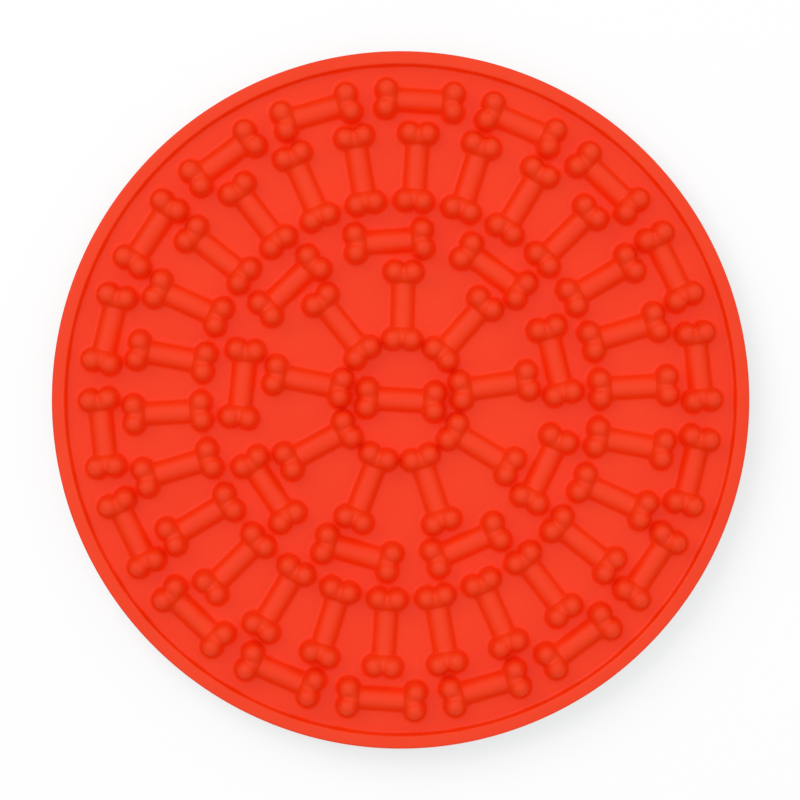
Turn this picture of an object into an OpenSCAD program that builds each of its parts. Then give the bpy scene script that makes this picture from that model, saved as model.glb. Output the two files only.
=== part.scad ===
// Round silicone lick mat: a thin sheet with a raised rim, moulded bones in rings
// on its licking face, and suction cups under it.
// The origin is the centre of the plane that the cups stand on, +Z points up out of
// the licking face, and angles round the mat run clockwise from +Y.

/* [Bones] */
// Length of a bone from end to end
bone_len = 26.1; // [20:0.1:34]
// Width of a bone over the two lobes of a knob
bone_w = 12; // [10:0.1:15]
// Diameter of one lobe where it meets the mat's floor
lobe_d = 6.8; // [6:0.1:9]
// Radius of the round that tops a knob
lobe_round = 2.7; // [2:0.1:2.9]
// Height of a lobe above the floor
lobe_h = 6.6; // [4.2:0.1:8]
// Diameter of a knob's middle, between its lobes, where it meets the floor
web_d = 6; // [5.8:0.1:6.8]
// Height of a knob's middle above the floor
web_h = 4.7; // [3.3:0.1:6]
// Distance from the lobes' centres back to the knob's middle
web_inset = 0.8; // [0:0.1:1.5]
// Width of a bone's shaft where it meets the floor
shaft_w = 7; // [6.2:0.1:8]
// Radius of the round along the top of the shaft
shaft_round = 3.1; // [2:0.1:3.1]
// Height of the shaft above the floor
shaft_h = 3.2; // [3.2:0.1:5]

/* [Rings of bones] */
// Least gap between the centre bone and the inner ring
centre_gap = 0.85; // [0.2:0.05:4]
// Least gap between the inner ring and the middle ring
inner_gap = 0.45; // [0.2:0.05:4]
// Least gap between the middle ring and the spoke ring
middle_gap = 1.35; // [0.2:0.05:5]
// Least gap between the spoke ring and the outer ring
spoke_gap = 0.55; // [0.2:0.05:5]
// Least gap between the outer ring and the rim
rim_gap = 3.6; // [0.5:0.1:10]
// Least gap between neighbours in the inner ring
inner_side_gap = 0.2; // [0.1:0.1:2]
// Least gap between neighbours in the other rings
side_gap = 1.6; // [0.5:0.1:5]
// Bones in the inner ring
inner_count = 9; // [5:1:12]
// Bones in the middle ring
middle_count = 9; // [5:1:11]
// Bones in the spoke ring
spoke_count = 26; // [12:1:30]
// Bones in the outer ring
outer_count = 18; // [8:1:22]
// Turn of the centre bone
centre_turn = 3.4; // [-90:0.1:90]
// Turn of the inner ring
inner_turn = 1.3; // [-90:0.1:90]
// Turn of the middle ring
middle_turn = -4.2; // [-90:0.1:90]
// Turn of the spoke ring
spoke_turn = 3.8; // [-90:0.1:90]
// Turn of the outer ring
outer_turn = 3.65; // [-90:0.05:90]

/* [Sheet and rim] */
// Thickness of the sheet
sheet_t = 2; // [1:0.1:4]
// Width of the raised rim
rim_w = 3.9; // [2:0.1:8]
// Height of the rim above the floor
rim_h = 2.4; // [1:0.1:4]
// Rounding of the mat's edges
edge_round = 0.5; // [0.2:0.1:0.9]

/* [Suction cups] */
// Diameter of a cup's lip
cup_d = 16; // [10:0.5:22]
// Height of a cup from its lip to the sheet
cup_h = 4; // [3:0.1:7]
// Diameter of a cup's neck
neck_d = 8; // [5:0.1:9.5]
// Length of the straight neck
neck_h = 1; // [0.5:0.1:1.5]
// Thickness of the lip at its edge
lip_t = 0.7; // [0.4:0.1:1]
// Width of the flat ring that a lip stands on
lip_land = 0.8; // [0.5:0.1:1.5]
// Depth of the hollow in a cup
hollow_h = 1.6; // [0.6:0.1:1.9]
// Distance from the outermost lips to the edge of the mat
cup_edge = 8; // [4:0.5:20]
// Least gap between one ring of cups and the next
cup_gap = 6; // [2:0.5:30]

/* [Hidden] */
$fn = 60;
// Facets of the mat's edge
mat_fn = 240;
silicone = [0.95, 0.25, 0.15];
// How far a cutting shape runs past what it cuts
overrun = 1;
// Radius of the rises between a knob's middle and its lobes, as a share of the round's
rise_share = 0.94;
// Cups in each ring for every ring out from the centre
cups_per_step = 6;

lobe_r = lobe_d / 2;
lobe_x = bone_len / 2 - lobe_r;
lobe_y = bone_w / 2 - lobe_r;
web_x = lobe_x - web_inset;
bone_top = max(lobe_h, shaft_h, web_h);

// How far from the mat's centre a bone reaches in a ring of radius r, when it points at
// the centre (radial) and when it lies along the ring (across)
function radial_out(r) = norm([r + lobe_x, lobe_y]) + lobe_r;
function across_out(r) = norm([r + lobe_y, lobe_x]) + lobe_r;
// Radius of the ring whose bones reach in as far as q
function radial_ring(q) = lobe_x + sqrt(pow(q + lobe_r, 2) - pow(lobe_y, 2));
function across_ring(q) = lobe_y + sqrt(pow(q + lobe_r, 2) - pow(lobe_x, 2));
// How far out the inner lobes are, y to either side of their bone's middle, when count bones
// stand side by side round a ring
function lobes_out(count, y, gap) =
    (lobe_r + gap / 2 + y * cos(180 / count)) / sin(180 / count);
// Radius of a ring of count bones that clears q and has room for all of them
function radial_fit(q, count, gap) =
    max(radial_ring(q), lobe_x + lobes_out(count, lobe_y, gap));
function across_fit(q, count, gap) =
    max(across_ring(q), lobe_y + lobes_out(count, lobe_x, gap));

centre_out = norm([lobe_x, lobe_y]) + lobe_r;
inner_r = radial_fit(centre_out + centre_gap, inner_count, inner_side_gap);
middle_r = across_fit(radial_out(inner_r) + inner_gap, middle_count, side_gap);
spoke_r = radial_fit(across_out(middle_r) + middle_gap, spoke_count, side_gap);
outer_r = across_fit(radial_out(spoke_r) + spoke_gap, outer_count, side_gap);
floor_r = across_out(outer_r) + rim_gap;
mat_r = floor_r + rim_w;

cup_r = cup_d / 2;
// Radius of the ball whose cap is hollow_h deep and leaves the land at the lip
hollow_r = (pow(cup_r - lip_land, 2) + pow(hollow_h, 2)) / (2 * hollow_h);
cup_reach = mat_r - cup_edge - cup_r;
cup_rings = floor(cup_reach / (cup_d + cup_gap));
cup_step = cup_reach / cup_rings;

floor_z = cup_h + sheet_t;
rounding = min(edge_round, rim_h, rim_w / 2, sheet_t);

// A stub with drafted walls and a round top
module stub(foot_r, h) {
    cylinder(r1 = foot_r, r2 = lobe_round, h = h - lobe_round);
    translate([0, 0, h - lobe_round]) sphere(r = lobe_round);
}

// The rise from a knob's middle to the lobe on one side, from ball to ball and slimmer
module rise(side) {
    run = norm([web_inset, lobe_y]);
    climb = lobe_h - web_h;
    rotate([0, atan2(run, climb), atan2(side * lobe_y, web_inset)])
        cylinder(r = rise_share * lobe_round, h = norm([run, climb]));
}

// One knob: a lobe on each side and a lower middle between them
module knob() {
    for (side = [-1, 1]) {
        translate([lobe_x, side * lobe_y, 0]) stub(lobe_r, lobe_h);
        translate([web_x, 0, web_h - lobe_round]) rise(side);
    }
    translate([web_x, 0, 0]) stub(web_d / 2, web_h);
}

// The shaft along X, with drafted walls and a round top
module shaft() {
    length = 2 * web_x;
    wall_h = shaft_h - shaft_round;
    translate([-length / 2, 0, 0]) rotate([90, 0, 90]) linear_extrude(length)
        polygon([
            [-shaft_w / 2, 0], [shaft_w / 2, 0], [shaft_round, wall_h], [-shaft_round, wall_h]
        ]);
    translate([-length / 2, 0, wall_h]) rotate([0, 90, 0]) cylinder(r = shaft_round, h = length);
}

// A bone along X, standing on z = 0
module bone() {
    color(silicone) intersection() {
        union() {
            knob();
            mirror([1, 0, 0]) knob();
            shaft();
        }
        cylinder(r = bone_len, h = bone_top + overrun);
    }
}

// Places a bone in a ring of radius r, with its length along the radius or across it
module bone_at(angle, r, along) {
    rotate([0, 0, -angle]) translate([0, r, floor_z]) rotate([0, 0, along ? 90 : 0]) bone();
}

// The sheet lies under the floor, as wide as the rim, with its lower edge rounded
module base_sheet() {
    color(silicone) translate([0, 0, cup_h]) rotate_extrude($fn = mat_fn) {
        translate([0, rounding]) square([mat_r, sheet_t - rounding]);
        square([mat_r - rounding, sheet_t]);
        translate([mat_r - rounding, rounding]) circle(r = rounding);
    }
}

// The flat-topped band round the floor, with both upper edges rounded
module raised_rim() {
    color(silicone) translate([0, 0, floor_z]) rotate_extrude($fn = mat_fn) {
        translate([floor_r, 0]) square([rim_w, rim_h - rounding]);
        translate([floor_r + rounding, 0]) square([rim_w - 2 * rounding, rim_h]);
        for (x = [floor_r + rounding, mat_r - rounding])
            translate([x, rim_h - rounding]) circle(r = rounding);
    }
}

module centre_bone() { translate([0, 0, floor_z]) rotate([0, 0, -centre_turn]) bone(); }

module inner_bone(i) { bone_at(inner_turn + (i - 1) * 360 / inner_count, inner_r, true); }

module middle_bone(i) { bone_at(middle_turn + (i - 1) * 360 / middle_count, middle_r, false); }

module spoke_bones() {
    for (i = [1 : spoke_count]) bone_at(spoke_turn + (i - 1) * 360 / spoke_count, spoke_r, true);
}

module outer_bone(i) { bone_at(outer_turn + (i - 1) * 360 / outer_count, outer_r, false); }

// A suction cup that stands on its lip at z = 0 and meets the sheet with its neck
module cup() {
    color(silicone) difference() {
        union() {
            cylinder(r = cup_r, h = lip_t);
            translate([0, 0, lip_t]) cylinder(r1 = cup_r, r2 = neck_d / 2, h = cup_h - neck_h - lip_t);
            cylinder(d = neck_d, h = cup_h);
        }
        translate([0, 0, hollow_h - hollow_r]) sphere(r = hollow_r);
    }
}

module centre_cup() { cup(); }

module cup_ring(i) {
    count = i * cups_per_step;
    for (k = [1 : count]) rotate([0, 0, k * 360 / count]) translate([i * cup_step, 0, 0]) cup();
}

base_sheet();
raised_rim();
centre_bone();
for (i = [1 : inner_count]) inner_bone(i);
for (i = [1 : middle_count]) middle_bone(i);
spoke_bones();
for (i = [1 : outer_count]) outer_bone(i);
centre_cup();
for (i = [1 : cup_rings]) cup_ring(i);
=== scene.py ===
# Round silicone lick mat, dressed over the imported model.
# Lengths are metres, +Z is up out of the licking face, and angles round the mat run
# clockwise from +Y.
import math

import bmesh
import bpy
from mathutils import Matrix, Vector


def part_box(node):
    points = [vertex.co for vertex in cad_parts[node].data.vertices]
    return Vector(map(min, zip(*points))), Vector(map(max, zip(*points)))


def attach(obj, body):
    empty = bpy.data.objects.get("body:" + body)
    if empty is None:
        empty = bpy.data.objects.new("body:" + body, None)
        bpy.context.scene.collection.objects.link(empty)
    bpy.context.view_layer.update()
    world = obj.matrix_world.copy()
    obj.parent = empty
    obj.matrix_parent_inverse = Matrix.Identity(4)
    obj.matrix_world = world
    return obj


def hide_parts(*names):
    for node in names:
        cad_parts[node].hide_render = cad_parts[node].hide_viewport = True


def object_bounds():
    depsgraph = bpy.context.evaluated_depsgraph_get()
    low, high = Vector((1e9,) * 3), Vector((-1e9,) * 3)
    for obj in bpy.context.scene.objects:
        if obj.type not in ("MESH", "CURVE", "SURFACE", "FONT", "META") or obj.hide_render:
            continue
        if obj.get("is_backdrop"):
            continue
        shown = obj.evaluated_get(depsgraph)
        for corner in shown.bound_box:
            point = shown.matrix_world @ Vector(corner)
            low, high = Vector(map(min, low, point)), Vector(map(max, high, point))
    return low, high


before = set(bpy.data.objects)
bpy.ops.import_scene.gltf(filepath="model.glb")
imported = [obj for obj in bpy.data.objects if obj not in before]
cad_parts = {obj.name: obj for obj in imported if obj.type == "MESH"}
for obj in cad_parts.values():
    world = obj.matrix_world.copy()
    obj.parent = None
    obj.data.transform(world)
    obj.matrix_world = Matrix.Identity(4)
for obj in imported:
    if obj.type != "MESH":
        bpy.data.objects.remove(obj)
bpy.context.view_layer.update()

MM = 0.001

# Sizes read from the frame
sheet_low, sheet_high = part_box("base_sheet")
rim_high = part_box("raised_rim")[1]
bone_low, bone_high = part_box("centre_bone")
cup_low, cup_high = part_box("centre_cup")
MAT_R = sheet_high.x
FLOOR_Z = sheet_high.z
UNDER_Z = sheet_low.z
RIM_TOP = rim_high.z

# Bones, which all have one shape, drawn a little full because blending shrinks it
BONE_LEN = 26.2 * MM
BONE_W = 12.1 * MM
LOBE_D = 6.9 * MM
LOBE_ROUND = 2.7 * MM
LOBE_H = bone_high.z - bone_low.z
SHAFT_W = 7.2 * MM
SHAFT_ROUND = 3.2 * MM
SHAFT_H = 3.3 * MM
# The middle of a knob, between its lobes
WEB_W = 5.8 * MM
WEB_ROUND = 2.65 * MM
WEB_H = 4.6 * MM
WEB_INSET = 1 * MM
CENTRE_TURN = math.radians(3.4)

# The spoke ring is one node, so its layout is given here
SPOKE_R = 66.921 * MM
SPOKE_COUNT = 26
SPOKE_TURN = math.radians(3.8)

# Blending of a bone into itself, and of its foot into the floor
VOXEL = 0.26 * MM
BLEND_PASSES = 8
BLEND_FACTOR = 0.5
FOOT_PASSES = 20
FOOT_H = 1.1 * MM
# Height where the foot is cut off and dropped straight to the floor
SKIRT_LIFT = 0.02 * MM
# The slab of floor that a bone is blended with
SLAB_T = 1.5 * MM
SLAB_MARGIN = 3 * MM
BALL_SEGMENTS = 64

# Rim and sheet
RIM_W = 3.9 * MM
EDGE_ROUND = 0.5 * MM
FOOT_FILLET = 1.1 * MM
CREST_ROUND = 0.8 * MM

# Suction cups
CUP_R = (cup_high.x - cup_low.x) / 2
CUP_STEP = 28.011 * MM
CUPS_PER_STEP = 6
CUP_RINGS = 3
NECK_R = 4 * MM
NECK_H = 1 * MM
LIP_T = 0.7 * MM
LIP_LAND = 0.8 * MM
# Angle on the lip's round where the flare starts
LIP_END = 70
# Height of the flare's middle, as a share of its whole height
FLARE_SHARE = 0.42
HOLLOW_H = 1.6 * MM
NECK_FILLET = 0.6 * MM

# How finely round pieces are spun, and where an edge stays sharp
ROUND_STEPS = 5
HOLLOW_STEPS = 10
MAT_STEPS = 360
CUP_SEGMENTS = 72
WELD = 0.001 * MM
SHARP_ANGLE = math.radians(40)

# The photograph's size, and where the mat is in it, in its own pixels
IMAGE_PX = 800
MAT_CENTRE_PX = (400.6, 399.9)
MAT_RADIUS_PX = 349
# How far the camera is above the rim
CAMERA_HEIGHT = 1

# Silicone of the sheet and cups, of the bones and of the rim: shades of the clouding, depth of
# the mould grain, roughness and gloss
SHEET_PALE = (0.98, 0.0455, 0.0035)
SHEET_DEEP = (0.962, 0.039, 0.0018)
SHEET_GRAIN = 0.03 * MM
SHEET_ROUGHNESS = 0.35
SHEET_GLOSS = 0.36
BONE_PALE = (1, 0.049, 0.0052)
BONE_DEEP = (0.99, 0.043, 0.0036)
BONE_GRAIN = 0.02 * MM
BONE_ROUGHNESS = 0.4
BONE_GLOSS = 0.34
RIM_PALE = (1, 0.048, 0.0031)
RIM_DEEP = (0.98, 0.0415, 0.0015)
RIM_GRAIN = 0.02 * MM
RIM_ROUGHNESS = 0.3
RIM_GLOSS = 0.42
SILICONE_IOR = 1.4
ROUGHNESS_SPREAD = 0.04
# Size of the clouding and of the grain, as noise scales, and the grain's strength
CLOUD_SCALE = 45
GRAIN_SCALE = 2600
GRAIN_STRENGTH = 0.3

# Sky: its level at the horizon, and how it changes along X, Y and Z
SKY_LEVEL = 0.22
SKY_SLOPE = (-0.02, 0.07, 0.89)
# Lamps: how far off they stand and their levels. The third lights the table alone
LAMP_DISTANCE = 1.6
TABLE_LAMP_DISTANCE = 5
KEY_LEVEL = 0.75
SIDE_LEVEL = 0.65
TABLE_LAMP_LEVEL = 5.3

# The table, and how the camera sees it: a share that shadows darken and one that they don't
TABLE_REACH = 4
TABLE_WHITE = (0.51, 0.51, 0.51)
TABLE_SHADED = (0.216, 0.186, 0.186)
TABLE_GLOW = (0.667, 0.714, 0.714)


def on_object(bm, name):
    """Ends a bmesh as an object at the origin, smooth-shaded but for its sharp edges."""
    for edge in bm.edges:
        if len(edge.link_faces) == 2 and edge.calc_face_angle(0) > SHARP_ANGLE:
            edge.smooth = False
    mesh = bpy.data.meshes.new(name)
    bm.to_mesh(mesh)
    bm.free()
    mesh.shade_smooth()
    piece = bpy.data.objects.new(name, mesh)
    bpy.context.scene.collection.objects.link(piece)
    return piece


def dress(piece, material, node):
    """Gives a piece its material and body, and hides the imported part of its node."""
    piece.data.materials.append(material)
    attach(piece, "root")
    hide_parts(node)


# Bones

def rod(bm, start_r, end_r, start, end):
    """A capped round rod between two points."""
    turn = (end - start).to_track_quat("Z", "Y").to_matrix().to_4x4()
    bmesh.ops.create_cone(
        bm, cap_ends=True, segments=BALL_SEGMENTS, radius1=start_r, radius2=end_r,
        depth=(end - start).length, matrix=Matrix.Translation((start + end) / 2) @ turn)


def stub(bm, foot_r, round_r, height, x, y):
    """A stub with drafted walls and a round top at x, y. Returns the round's centre."""
    centre = Vector((x, y, height - round_r))
    rod(bm, foot_r, round_r, Vector((x, y, 0)), centre)
    bmesh.ops.create_uvsphere(
        bm, u_segments=BALL_SEGMENTS, v_segments=BALL_SEGMENTS // 2, radius=round_r,
        matrix=Matrix.Translation(centre))
    return centre


def bone_body():
    """The two knobs and the shaft of a bone over a slab of floor, not yet blended."""
    bm = bmesh.new()
    lobe_x = (BONE_LEN - LOBE_D) / 2
    lobe_y = (BONE_W - LOBE_D) / 2
    half_len = lobe_x - WEB_INSET
    for sx in (-1, 1):
        middle = stub(bm, WEB_W / 2, WEB_ROUND, WEB_H, sx * half_len, 0)
        for sy in (-1, 1):
            lobe = stub(bm, LOBE_D / 2, LOBE_ROUND, LOBE_H, sx * lobe_x, sy * lobe_y)
            rod(bm, WEB_ROUND, LOBE_ROUND, middle, lobe)
    wall_h = SHAFT_H - SHAFT_ROUND
    near, far = Vector((-half_len, 0, wall_h)), Vector((half_len, 0, wall_h))
    rod(bm, SHAFT_ROUND, SHAFT_ROUND, near, far)
    wall = bmesh.ops.create_cube(bm, size=1)["verts"]
    for v in wall:
        top = v.co.z > 0
        half_w = SHAFT_ROUND if top else SHAFT_W / 2
        v.co = (2 * half_len * v.co.x, math.copysign(half_w, v.co.y), wall_h if top else 0)
    slab = Matrix.Diagonal((BONE_LEN + 2 * SLAB_MARGIN, BONE_W + 2 * SLAB_MARGIN, SLAB_T, 1))
    bmesh.ops.create_cube(bm, size=1, matrix=Matrix.Translation((0, 0, -SLAB_T / 2)) @ slab)
    return bm


def soften(bm, verts, passes):
    """Draws each vertex towards its neighbours, a number of times."""
    for _ in range(passes):
        bmesh.ops.smooth_vert(
            bm, verts=verts, factor=BLEND_FACTOR,
            use_axis_x=True, use_axis_y=True, use_axis_z=True)


def blended_bone():
    """The bone as one skin with soft hollows between its lobes and round its foot."""
    body = on_object(bone_body(), "bone_body")
    remesh = body.modifiers.new("skin", "REMESH")
    remesh.mode = "VOXEL"
    remesh.voxel_size = VOXEL
    bm = bmesh.new()
    bm.from_object(body, bpy.context.evaluated_depsgraph_get())
    bpy.data.objects.remove(body)
    soften(bm, bm.verts, BLEND_PASSES)
    soften(bm, [v for v in bm.verts if v.co.z < FOOT_H], FOOT_PASSES)
    everything = list(bm.verts) + list(bm.edges) + list(bm.faces)
    bmesh.ops.bisect_plane(
        bm, geom=everything, dist=SKIRT_LIFT / 10,
        plane_co=(0, 0, SKIRT_LIFT), plane_no=(0, 0, 1), clear_inner=True)
    hem = [e for e in bm.edges if e.is_boundary]
    foot = bmesh.ops.extrude_edge_only(bm, edges=hem)["geom"]
    for v in foot:
        if isinstance(v, bmesh.types.BMVert):
            v.co.z = 0
    bmesh.ops.holes_fill(bm, edges=[e for e in bm.edges if e.is_boundary], sides=0)
    bmesh.ops.recalc_face_normals(bm, faces=bm.faces)
    mesh = bpy.data.meshes.new("bone_master")
    bm.to_mesh(mesh)
    bm.free()
    return mesh


def bone_turn(x, y, points_in):
    """Turn of a bone at x, y about Z: its length points at the centre or lies across that."""
    angle = math.atan2(x, y)
    return -angle + (math.pi / 2 if points_in else 0)


def place_bone(master, name, node, x, y, turn, material):
    """Stands a copy of the bone on the floor at x, y."""
    bm = bmesh.new()
    bm.from_mesh(master)
    place = Matrix.Translation((x, y, FLOOR_Z)) @ Matrix.Rotation(turn, 4, "Z")
    bmesh.ops.transform(bm, matrix=place, verts=bm.verts)
    dress(on_object(bm, name), material, node)


# Round pieces, spun from a profile in the XZ plane

def spun(profile, steps, place=Matrix.Identity(4)):
    """A solid of revolution about Z from (radius, height) points. A profile that starts off
    the axis is joined up into a ring."""
    bm = bmesh.new()
    verts = [bm.verts.new((r, 0, z)) for r, z in profile]
    edges = [bm.edges.new(pair) for pair in zip(verts, verts[1:])]
    if profile[0][0] > 0:
        edges.append(bm.edges.new((verts[-1], verts[0])))
    bmesh.ops.spin(
        bm, geom=verts + edges, cent=(0, 0, 0), axis=(0, 0, 1), angle=2 * math.pi,
        steps=steps, use_merge=True)
    bmesh.ops.remove_doubles(bm, verts=bm.verts, dist=WELD)
    bmesh.ops.recalc_face_normals(bm, faces=bm.faces)
    bmesh.ops.transform(bm, matrix=place, verts=bm.verts)
    return bm


def arc(cx, cz, radius, start, end, steps=ROUND_STEPS):
    """Points of an arc in the profile plane, angles in degrees."""
    points = []
    for i in range(steps + 1):
        a = math.radians(start + (end - start) * i / steps)
        points.append((cx + radius * math.cos(a), cz + radius * math.sin(a)))
    return points


def rim_profile():
    """Foot fillet on the floor, steep inner wall, rounded top edges and the outer wall."""
    inner = MAT_R - RIM_W
    fillet_x = inner - FOOT_FILLET
    points = [(fillet_x, FLOOR_Z)]
    points += arc(fillet_x, FLOOR_Z + SKIRT_LIFT + FOOT_FILLET, FOOT_FILLET, -90, 0)
    points += arc(inner + CREST_ROUND, RIM_TOP - CREST_ROUND, CREST_ROUND, 180, 90)
    points += arc(MAT_R - EDGE_ROUND, RIM_TOP - EDGE_ROUND, EDGE_ROUND, 90, 0)
    points.append((MAT_R, FLOOR_Z))
    return points


def sheet_profile():
    """Flat floor, upright edge, rounded lower edge and flat underside."""
    points = [(0, FLOOR_Z), (MAT_R / 2, FLOOR_Z), (MAT_R, FLOOR_Z)]
    points += arc(MAT_R - EDGE_ROUND, UNDER_Z + EDGE_ROUND, EDGE_ROUND, 0, -90)
    points += [(MAT_R / 2, UNDER_Z), (0, UNDER_Z)]
    return points


def cup_profile():
    """Hollow, flat land, rounded lip, flare, neck and the fillet where it meets the sheet."""
    mouth_r = CUP_R - LIP_LAND
    hollow_r = (mouth_r ** 2 + HOLLOW_H ** 2) / (2 * HOLLOW_H)
    half = math.degrees(math.asin(mouth_r / hollow_r))
    points = arc(0, HOLLOW_H - hollow_r, hollow_r, 90, 90 - half, HOLLOW_STEPS)
    lip_round = LIP_T / 2
    points += arc(CUP_R - lip_round, lip_round, lip_round, -90, LIP_END)
    neck_z = UNDER_Z - NECK_H
    points.append(((NECK_R + CUP_R) / 2, LIP_T + (neck_z - LIP_T) * FLARE_SHARE))
    points.append((NECK_R + NECK_FILLET, neck_z))
    points += arc(NECK_R + NECK_FILLET, UNDER_Z - NECK_FILLET, NECK_FILLET, 180, 90)
    points.append((0, UNDER_Z))
    return points


def cup_group(places):
    """Suction cups at the given places, as one mesh."""
    group = bmesh.new()
    for x, y in places:
        cup = spun(cup_profile(), CUP_SEGMENTS, Matrix.Translation((x, y, 0)))
        mesh = bpy.data.meshes.new("cup")
        cup.to_mesh(mesh)
        cup.free()
        group.from_mesh(mesh)
        bpy.data.meshes.remove(mesh)
    return group


# Materials

def silicone(name, pale, deep, grain_depth, roughness, gloss_level):
    """Saturated orange-red silicone with a fine mould grain, faint clouding and a satin skin."""
    mat = bpy.data.materials.new(name)
    mat.use_nodes = True
    nodes, links = mat.node_tree.nodes, mat.node_tree.links
    shader = nodes["Principled BSDF"]
    shader.inputs["IOR"].default_value = SILICONE_IOR
    shader.inputs["Specular IOR Level"].default_value = gloss_level
    coords = nodes.new("ShaderNodeTexCoord")

    cloud = nodes.new("ShaderNodeTexNoise")
    cloud.inputs["Scale"].default_value = CLOUD_SCALE
    cloud.inputs["Detail"].default_value = 3
    links.new(coords.outputs["Object"], cloud.inputs["Vector"])
    tint = nodes.new("ShaderNodeValToRGB")
    tint.color_ramp.elements[0].position = 0.35
    tint.color_ramp.elements[0].color = (*deep, 1)
    tint.color_ramp.elements[1].position = 0.65
    tint.color_ramp.elements[1].color = (*pale, 1)
    links.new(cloud.outputs["Fac"], tint.inputs["Fac"])
    links.new(tint.outputs["Color"], shader.inputs["Base Color"])

    grain = nodes.new("ShaderNodeTexNoise")
    grain.inputs["Scale"].default_value = GRAIN_SCALE
    grain.inputs["Detail"].default_value = 2
    links.new(coords.outputs["Object"], grain.inputs["Vector"])
    bump = nodes.new("ShaderNodeBump")
    bump.inputs["Strength"].default_value = GRAIN_STRENGTH
    bump.inputs["Distance"].default_value = grain_depth
    links.new(grain.outputs["Fac"], bump.inputs["Height"])
    links.new(bump.outputs["Normal"], shader.inputs["Normal"])

    satin = nodes.new("ShaderNodeMapRange")
    satin.inputs["To Min"].default_value = roughness - ROUGHNESS_SPREAD
    satin.inputs["To Max"].default_value = roughness + ROUGHNESS_SPREAD
    links.new(cloud.outputs["Fac"], satin.inputs["Value"])
    links.new(satin.outputs["Result"], shader.inputs["Roughness"])
    return mat


def table_white():
    """White table top, which the camera and reflections see with a fainter shadow."""
    mat = bpy.data.materials.new("white_table")
    mat.use_nodes = True
    nodes, links = mat.node_tree.nodes, mat.node_tree.links
    shader = nodes["Principled BSDF"]
    shader.inputs["Base Color"].default_value = (*TABLE_WHITE, 1)
    shader.inputs["Specular IOR Level"].default_value = 0
    shader.inputs["Roughness"].default_value = 1
    shaded = nodes.new("ShaderNodeBsdfDiffuse")
    shaded.inputs["Color"].default_value = (*TABLE_SHADED, 1)
    glow = nodes.new("ShaderNodeEmission")
    glow.inputs["Color"].default_value = (*TABLE_GLOW, 1)
    both = nodes.new("ShaderNodeAddShader")
    links.new(shaded.outputs["BSDF"], both.inputs[0])
    links.new(glow.outputs["Emission"], both.inputs[1])
    path = nodes.new("ShaderNodeLightPath")
    seen = nodes.new("ShaderNodeMath")
    seen.operation = "MAXIMUM"
    links.new(path.outputs["Is Camera Ray"], seen.inputs[0])
    links.new(path.outputs["Is Glossy Ray"], seen.inputs[1])
    mix = nodes.new("ShaderNodeMixShader")
    links.new(seen.outputs[0], mix.inputs["Fac"])
    links.new(shader.outputs["BSDF"], mix.inputs[1])
    links.new(both.outputs["Shader"], mix.inputs[2])
    links.new(mix.outputs["Shader"], nodes["Material Output"].inputs["Surface"])
    return mat


# Stage, light and camera

def make_table():
    """A wide flat table top at the height of the cups' lips."""
    bm = bmesh.new()
    bmesh.ops.create_grid(bm, x_segments=1, y_segments=1, size=TABLE_REACH)
    table = on_object(bm, "table")
    table.data.materials.append(table_white())
    table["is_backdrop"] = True
    return table


def softbox(name, azimuth, elevation, size, level, distance=LAMP_DISTANCE):
    """A square lamp that faces the mat, azimuth in degrees anticlockwise from +X."""
    lamp = bpy.data.lights.new(name, "AREA")
    lamp.shape = "SQUARE"
    lamp.size = size
    lamp.energy = level * math.pi * size ** 2
    box = bpy.data.objects.new(name, lamp)
    a, e = math.radians(azimuth), math.radians(elevation)
    towards = Vector((math.cos(a) * math.cos(e), math.sin(a) * math.cos(e), math.sin(e)))
    box.location = towards * distance
    box.rotation_mode = "QUATERNION"
    box.rotation_quaternion = towards.to_track_quat("Z", "Y")
    bpy.context.scene.collection.objects.link(box)
    return box


def make_world():
    """Sky that is dim at the horizon, full overhead and a little fuller towards +Y, seen by
    the camera as white."""
    world = bpy.data.worlds.new("studio")
    world.use_nodes = True
    nodes, links = world.node_tree.nodes, world.node_tree.links
    coords = nodes.new("ShaderNodeTexCoord")
    slope = nodes.new("ShaderNodeVectorMath")
    slope.operation = "DOT_PRODUCT"
    slope.inputs[1].default_value = SKY_SLOPE
    links.new(coords.outputs["Generated"], slope.inputs[0])
    rise = nodes.new("ShaderNodeMath")
    rise.operation = "ADD"
    rise.inputs[1].default_value = SKY_LEVEL
    links.new(slope.outputs["Value"], rise.inputs[0])
    sky = nodes.new("ShaderNodeMath")
    sky.operation = "MAXIMUM"
    sky.inputs[1].default_value = 0
    links.new(rise.outputs[0], sky.inputs[0])
    path = nodes.new("ShaderNodeLightPath")
    seen = nodes.new("ShaderNodeMath")
    seen.operation = "MAXIMUM"
    links.new(path.outputs["Is Camera Ray"], seen.inputs[0])
    links.new(path.outputs["Is Transmission Ray"], seen.inputs[1])
    level = nodes.new("ShaderNodeMix")
    level.data_type = "FLOAT"
    level.inputs["B"].default_value = 1
    links.new(seen.outputs[0], level.inputs["Factor"])
    links.new(sky.outputs[0], level.inputs["A"])
    links.new(level.outputs["Result"], nodes["Background"].inputs["Strength"])
    nodes["Background"].inputs["Color"].default_value = (1, 1, 1, 1)
    bpy.context.scene.world = world


def make_camera():
    """Straight above the mat, framed so that its edge falls where the photograph has it."""
    per_px = MAT_R / MAT_RADIUS_PX
    data = bpy.data.cameras.new("camera")
    data.lens = data.sensor_width * CAMERA_HEIGHT / (IMAGE_PX * per_px)
    camera = bpy.data.objects.new("camera", data)
    x = (IMAGE_PX / 2 - MAT_CENTRE_PX[0]) * per_px
    y = (MAT_CENTRE_PX[1] - IMAGE_PX / 2) * per_px
    camera.location = (x, y, RIM_TOP + CAMERA_HEIGHT)
    bpy.context.scene.collection.objects.link(camera)
    bpy.context.scene.camera = camera


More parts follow.
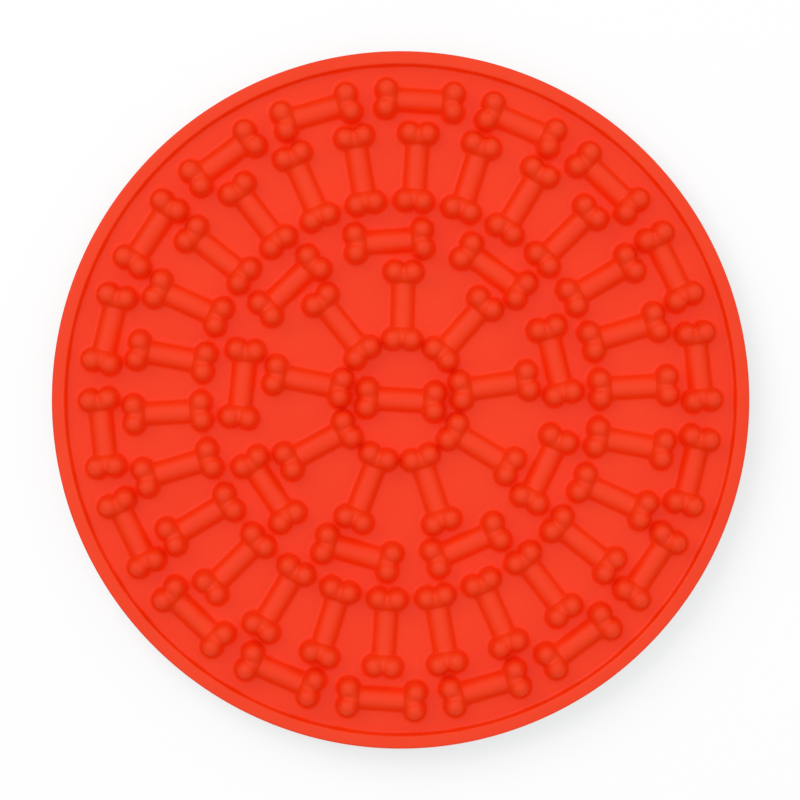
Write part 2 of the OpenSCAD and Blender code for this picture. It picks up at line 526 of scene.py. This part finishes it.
make_camera()
bpy.context.scene.view_settings.view_transform = "Standard"
make_world()
softbox("key_softbox", azimuth=140, elevation=47, size=1.1, level=KEY_LEVEL)
softbox("side_softbox", azimuth=48, elevation=25, size=0.9, level=SIDE_LEVEL)
table = make_table()
# A lamp for the table alone gives the soft shadow beside the mat
table_lamp = softbox(
    "table_softbox", azimuth=135, elevation=40, size=4, level=TABLE_LAMP_LEVEL,
    distance=TABLE_LAMP_DISTANCE)
lit_by_it = bpy.data.collections.new("lit_by_table_softbox")
lit_by_it.objects.link(table)
table_lamp.light_linking.receiver_collection = lit_by_it

sheet_finish = (SHEET_PALE, SHEET_DEEP, SHEET_GRAIN, SHEET_ROUGHNESS, SHEET_GLOSS)
floor_skin = silicone("silicone_floor", *sheet_finish)
bone_skin = silicone(
    "silicone_bones", BONE_PALE, BONE_DEEP, BONE_GRAIN, BONE_ROUGHNESS, BONE_GLOSS)
rim_skin = silicone("silicone_rim", RIM_PALE, RIM_DEEP, RIM_GRAIN, RIM_ROUGHNESS, RIM_GLOSS)
under_skin = silicone("silicone_underside", *sheet_finish)

sheet = on_object(spun(sheet_profile(), MAT_STEPS), "floor_sheet")
dress(sheet, floor_skin, "base_sheet")
rim = on_object(spun(rim_profile(), MAT_STEPS), "rim_band")
dress(rim, rim_skin, "raised_rim")

bone = blended_bone()
place_bone(bone, "centre_bone_skin", "centre_bone", 0, 0, -CENTRE_TURN, bone_skin)
for node in sorted(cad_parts):
    ring = node.split("_")[0]
    if ring in ("inner", "middle", "outer") and "_bone_" in node:
        low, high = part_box(node)
        x, y = (low.x + high.x) / 2, (low.y + high.y) / 2
        turn = bone_turn(x, y, ring == "inner")
        place_bone(bone, node + "_skin", node, x, y, turn, bone_skin)
for i in range(SPOKE_COUNT):
    angle = SPOKE_TURN + i * 2 * math.pi / SPOKE_COUNT
    x, y = SPOKE_R * math.sin(angle), SPOKE_R * math.cos(angle)
    turn = bone_turn(x, y, True)
    place_bone(bone, f"spoke_bone_{i + 1}_skin", "spoke_bones", x, y, turn, bone_skin)

dress(on_object(cup_group([(0, 0)]), "centre_cup_skin"), under_skin, "centre_cup")
for ring in range(1, CUP_RINGS + 1):
    count = ring * CUPS_PER_STEP
    radius = ring * CUP_STEP
    turns = [2 * math.pi * k / count for k in range(count)]
    places = [(radius * math.cos(a), radius * math.sin(a)) for a in turns]
    cups = on_object(cup_group(places), f"cup_ring_{ring}_skin")
    dress(cups, under_skin, f"cup_ring_{ring}")

low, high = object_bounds()
